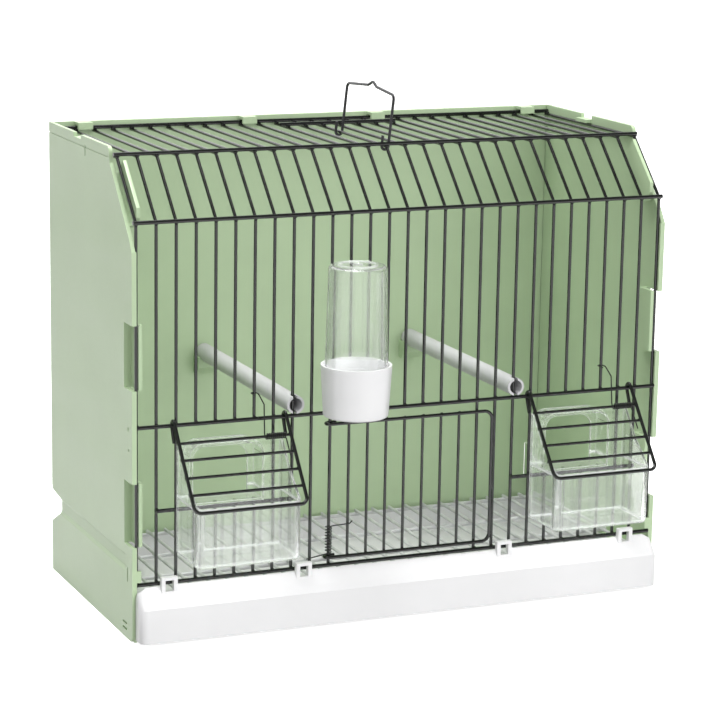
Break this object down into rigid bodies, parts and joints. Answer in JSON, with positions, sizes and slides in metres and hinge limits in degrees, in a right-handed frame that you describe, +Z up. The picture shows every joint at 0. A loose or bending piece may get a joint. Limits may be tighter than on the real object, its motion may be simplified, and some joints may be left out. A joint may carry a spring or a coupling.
{
  "type": "bird show cage",
  "caption": "Plastic show cage for a small bird with a wire grille, sprung door and feeder flaps, clear feeders, drinker, perches, carrying handle and slide-out drawer.",
  "frame": {"origin": "on the ground, below the middle of the whole outline, with the drinker and the feeders in front", "axes": "+X to the right of a person facing the grille, +Y from the grille towards the back wall, +Z up"},
  "size_m": [0.36, 0.211, 0.3297],
  "materials": {
    "shell": "satin moulded pale green plastic",
    "grille": "semi-gloss black enamel on steel wire",
    "spring": "dark spring wire",
    "floor_grid": "dull zinc-plated wire",
    "drawer": "satin white moulded plastic",
    "feeder": "clear moulded plastic",
    "perch": "light grey moulded plastic",
    "drinker_cup": "white moulded plastic",
    "drinker_tube": "clear moulded plastic",
    "handle": "dark bare wire"
  },
  "bodies": {
    "cage": {"left_side_panel": "shell", "right_side_panel": "shell", "back_panel": "shell", "floor_grid": "floor_grid", "long_bars": "grille", "short_bars": "grille", "stub_bars": "grille", "rear_cross_wire": "grille", "roof_cross_wire": "grille", "top_bend_cross_wire": "grille", "upper_bend_cross_wire": "grille", "middle_cross_wire": "grille", "bottom_cross_wire": "grille", "left_sill_wire": "grille", "right_sill_wire": "grille", "left_perch": "perch", "right_perch": "perch", "left_perch_bracket": "shell", "right_perch_bracket": "shell", "door_spring": "spring", "left_flap_spring": "spring", "right_flap_spring": "spring"},
    "door": {"door": "grille"},
    "left_flap": {"left_flap": "grille"},
    "right_flap": {"right_flap": "grille"},
    "left_feeder": {"left_feeder": "feeder"},
    "right_feeder": {"right_feeder": "feeder"},
    "drawer": {"drawer": "drawer"},
    "drinker": {"drinker_cup": "drinker_cup"},
    "drinker_tube": {"drinker_tube": "drinker_tube"},
    "handle": {"handle": "handle"}
  },
  "joints": [
    {"name": "door_hinge", "type": "hinge", "parent": "cage", "child": "door", "pos_m": [-0.0504, -0.0586, 0.0841], "axis": [0, 0, -1], "range_deg": [0, 100], "stiffness_Nm_per_rad": 0.01, "springref_deg": -20.05, "deforming": ["door_spring"]},
    {"name": "left_flap_hinge", "type": "hinge", "parent": "cage", "child": "left_flap", "pos_m": [-0.118, -0.06088, 0.1341], "axis": [-1, 0, 0], "range_deg": [0, 80], "stiffness_Nm_per_rad": 0.01, "springref_deg": -20.05, "deforming": ["left_flap_spring"]},
    {"name": "right_flap_hinge", "type": "hinge", "parent": "cage", "child": "right_flap", "pos_m": [0.1215, -0.06088, 0.1341], "axis": [-1, 0, 0], "range_deg": [0, 80], "stiffness_Nm_per_rad": 0.01, "springref_deg": -20.05, "deforming": ["right_flap_spring"]},
    {"name": "left_feeder_slide", "type": "slide", "parent": "cage", "child": "left_feeder", "axis": [0, -1, 0], "range_m": [0, 0.0548]},
    {"name": "right_feeder_slide", "type": "slide", "parent": "cage", "child": "right_feeder", "axis": [0, -1, 0], "range_m": [0, 0.0548]},
    {"name": "drawer_slide", "type": "slide", "parent": "cage", "child": "drawer", "axis": [0, -1, 0], "range_m": [0, 0.15]},
    {"name": "drinker_slide", "type": "slide", "parent": "cage", "child": "drinker", "axis": [0, -1, 0], "range_m": [0, 0.035]},
    {"name": "drinker_tube_lift", "type": "slide", "parent": "drinker", "child": "drinker_tube", "axis": [0, 0, 1], "range_m": [0, 0.025]},
    {"name": "handle_hinge", "type": "hinge", "parent": "cage", "child": "handle", "pos_m": [0, 0.016, 0.2925], "axis": [0, 1, 0], "range_deg": [-92, 60]}
  ],
  "couplings": [
    {"joint": "left_feeder_slide", "follows": "left_flap_hinge", "m_per_rad": 0.0392},
    {"joint": "right_feeder_slide", "follows": "right_flap_hinge", "m_per_rad": 0.0392}
  ]
}
